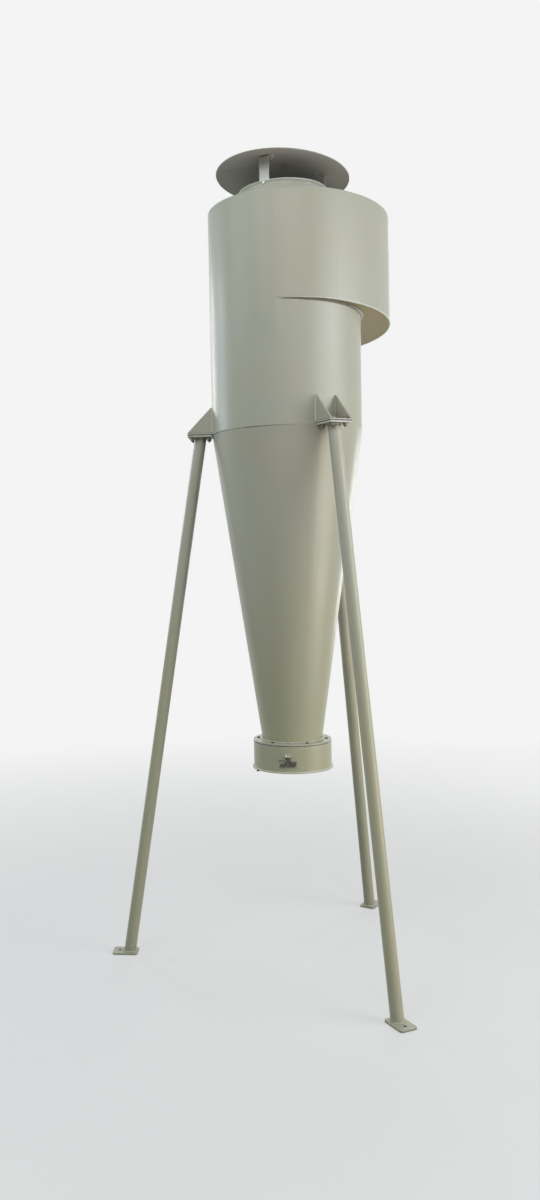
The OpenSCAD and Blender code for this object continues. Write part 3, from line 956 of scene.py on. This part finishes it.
def latch_parts(material, bright):
    """The latch's two pins and two screws, and the bent wire that locks its link."""
    pins = Shape()
    low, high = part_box("latch_lever")
    face = COLLAR_R + 6.2 * MM
    for z, radius in ((high.z - 4 * MM, 2.6 * MM), (low.z + 9 * MM, 2.8 * MM)):
        place = turned(LATCH_TURN, (face, 0, z)) @ FACING_OUT
        dome_head(pins, place, radius, 2 * MM)
    pins.piece("latch_pins", material, sharp=50)

    # The catch plate's two bright screws
    screws = Shape()
    catch_low, catch_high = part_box("latch_catch")
    face = COLLAR_R + 4 * MM
    level = (catch_low.z + catch_high.z) / 2 - 2 * MM
    for side in (-1, 1):
        place = turned(LATCH_TURN, (face, side * 6.5 * MM, level)) @ FACING_OUT
        dome_head(screws, place, 4.4 * MM, 1.8 * MM)
    screws.piece("catch_screws", bright, sharp=50)

    # The wire's bends: degrees on from the latch, and mm below the wire's highest stretch
    wire = Shape()
    bends = ((-14, 2), (-12, 0), (0, 0), (3, 0.5), (5.5, 4), (8.5, 5), (12, 6), (13, 10))
    reach, level = COLLAR_R + 3.6 * MM, COLLAR_Z + 52.5 * MM
    path = [around(LATCH_TURN + on, reach, level - drop * MM) for on, drop in bends]
    bead(wire, path, 1.5 * MM, seed=91, ripple=0, sides=12)
    wire.piece("latch_wire", material, sharp=50)


# The stage, the light and the camera

BACKGROUND = (0.9, 0.905, 0.9, 1)


def seen_directly(tree):
    """1 for the camera's rays and for mirrored ones, 0 for the rays that light things."""
    path = tree.nodes.new("ShaderNodeLightPath")
    total = path.outputs["Is Camera Ray"]
    for name in ("Is Glossy Ray", "Is Transmission Ray"):
        node = tree.nodes.new("ShaderNodeMath")
        node.operation = "MAXIMUM"
        tree.links.new(total, node.inputs[0])
        tree.links.new(path.outputs[name], node.inputs[1])
        total = node.outputs[0]
    return total


def world_light():
    world = bpy.data.worlds.new("studio")
    world.use_nodes = True
    tree = world.node_tree
    tree.nodes.clear()
    soft = tree.nodes.new("ShaderNodeBackground")
    soft.inputs[0].default_value = (0.95, 1.0, 1.0, 1)
    soft.inputs[1].default_value = 0.05
    pale = tree.nodes.new("ShaderNodeBackground")
    pale.inputs[0].default_value = BACKGROUND
    mix = tree.nodes.new("ShaderNodeMixShader")
    out = tree.nodes.new("ShaderNodeOutputWorld")
    tree.links.new(seen_directly(tree), mix.inputs[0])
    tree.links.new(soft.outputs[0], mix.inputs[1])
    tree.links.new(pale.outputs[0], mix.inputs[2])
    tree.links.new(mix.outputs[0], out.inputs[0])
    SCENE.world = world


def stage():
    """A pale round floor that goes over into the background far from the object.
    The light that it throws back at the object is that of the workshop's dark concrete."""
    radius, fade_from, fade_to, near = 14.0, 1.0, 5.5, 0.45
    shape = Shape()
    sides = 72
    rim = [around(360 * k / sides, radius, 0) for k in range(sides)]
    shape.add([(0, 0, 0)] + rim, [(0, k + 1, (k + 1) % sides + 1) for k in range(sides)])
    mesh = bpy.data.meshes.new("floor")
    mesh.from_pydata(shape.points, [], shape.faces)
    floor = bpy.data.objects.new("floor", mesh)
    SCENE.collection.objects.link(floor)
    t = Tree("floor")
    length = t.node("VectorMath", {0: t.place}, operation="LENGTH").outputs["Value"]
    direct = seen_directly(t.tree)
    share = t.plus(near, t.times(t.step(length, fade_from, fade_to), 1 - near))
    share = t.times(share, direct)
    glow = t.node("Emission", {"Color": BACKGROUND, "Strength": 1.0})
    mix = t.node("MixShader", {0: share, 1: t.shader.outputs[0], 2: glow.outputs[0]})
    t.feed(t.tree.nodes["Material Output"].inputs["Surface"], mix.outputs[0])
    tone = t.mix(t.noise(3, 4), (0.79, 0.79, 0.785, 1), (0.82, 0.82, 0.81, 1))
    tone = t.mix(direct, (0.26, 0.25, 0.22, 1), tone)
    t.finish(tone, 0.75, t.bump([(t.noise(40, 3), 0.1 * MM)], t.normal), specular=0.3)
    mesh.materials.append(t.material)


def lamp(name, place, target, width, height, power, colour=(1, 1, 1)):
    data = bpy.data.lights.new(name, "AREA")
    data.shape = "RECTANGLE"
    data.size = width
    data.size_y = height
    data.energy = power
    data.color = colour
    obj = bpy.data.objects.new(name, data)
    SCENE.collection.objects.link(obj)
    look = (Vector(target) - Vector(place)).to_track_quat("-Z", "Y")
    obj.matrix_world = Matrix.Translation(place) @ look.to_matrix().to_4x4()


def lamps():
    """Daylight from the right and the front, a tall window behind on the left, and fill for the back."""
    aim = (0, 0, 1.8)
    lamp("key", (4.2, -2.4, 3.2), aim, 3.0, 2.2, 66, (0.82, 0.92, 1.0))
    lamp("side", (4.8, -0.8, 2.8), aim, 2.4, 2.6, 46, (0.95, 0.98, 1.0))
    lamp("front_high", (0.5, -5.0, 5.4), aim, 3.0, 2.4, 67, (0.97, 0.97, 1.0))
    lamp("front_left_high", (-2.6, -3.9, 5.2), aim, 2.6, 2.6, 64, (0.94, 0.94, 1.0))
    lamp("left_high", (-4.2, -1.6, 4.6), aim, 2.4, 2.4, 34, (0.75, 1.0, 1.0))
    lamp("low_right", (3.6, -1.4, 0.9), (0, 0, 2.2), 2.0, 1.2, 36, (1.0, 0.85, 0.72))
    lamp("back_left", (-4.2, 1.4, 3.2), (0, 0, 2.4), 1.2, 1.6, 27, (0.78, 0.88, 1.0))
    lamp("window", (-2.9, 3.4, 3.1), (0, 0, 2.4), 0.9, 1.6, 24, (0.92, 0.9, 1.0))
    lamp("edge", (2.6, 3.8, 1.5), aim, 0.9, 1.6, 21)
    lamp("back", (0.4, 5.2, 3.8), aim, 3.0, 2.4, 60, (0.95, 0.98, 1.0))


def camera():
    """A phone held at 1.64 m, four metres in front, turned to the right of the cyclone's axis."""
    place = Vector((-0.0105, -4.127, 1.638))
    turn, pitch, roll = math.radians(5.9), -0.0431, -0.0229
    focal_px = 1010.4
    centre_px = Vector((183.0, 603.6))
    picture_px = Vector((540.0, 1200.0))
    data = bpy.data.cameras.new("camera")
    data.sensor_width = 36.0
    data.lens = data.sensor_width * focal_px / picture_px.y
    data.shift_x = (picture_px.x / 2 - centre_px.x) / picture_px.y
    data.shift_y = (centre_px.y - picture_px.y / 2) / picture_px.y
    cam = bpy.data.objects.new("camera", data)
    SCENE.collection.objects.link(cam)
    level = math.cos(pitch)
    forward = Vector((-math.sin(turn) * level, math.cos(turn) * level, math.sin(pitch)))
    look = forward.to_track_quat("-Z", "Y").to_matrix().to_4x4()
    cam.matrix_world = Matrix.Translation(place) @ look @ Matrix.Rotation(roll, 4, "Z")
    SCENE.camera = cam


def main():
    camera()
    body = paint("body_paint", bands=0.55, seam=-4 * MM, rim=4 * MM)
    stand = paint("stand_paint", chips=0.5, feet=True)
    cap = paint("cap_paint", dull=0.45, below=CAP_UNDERSIDE_LIGHT)
    # The straps' paler paint is partly painted light, against the cap's shadow
    strap = paint("strap_paint", corner_shade=0.3, below=CAP_UNDERSIDE_LIGHT, coat=(STRAP_GREY_LIFTED, HIGHLIGHT_PALE, STRAP_GREY_LIFTED))
    welded = weld_paint("weld_paint")
    # A pale copy of the weld paint, for painted highlights
    highlit = weld_paint("highlit_weld_paint", highlit=True)
    # A pale zinc whose brightness is partly a painted glint, and a dark old one that is partly painted
    # shade
    plated = zinc("zinc", ZINC, ZINC_GREY)
    dull_and_shaded_zinc = zinc("dull_shaded_zinc", OLD_ZINC, OLD_ZINC_DARK)
    black = dark_steel()
    dress_nodes({"body_paint": body, "stand_paint": stand, "cap_paint": cap,
                 "gasket_rubber": rubber(), "dark_steel": black}, strap)
    body_welds(welded)
    scroll_welds(highlit, weld_paint("floor_weld_paint", shaded=True))
    scroll_start(body)
    discharge_welds(welded, highlit)
    roof_welds(welded, highlit)
    flange_welds(welded)
    bracket_welds(welded, highlit)
    leg_welds(welded)
    bracket_bolts(dull_and_shaded_zinc)
    flange_bolts(black)
    cap_fasteners(plated)
    pipe_screws(plated)
    cap_lap(cap, plated)
    cap_rim(cap)
    lip_bolt(black)
    latch_parts(dull_and_shaded_zinc, plated)
    stage()
    world_light()
    lamps()
    SCENE.view_settings.view_transform = "Standard"


main()
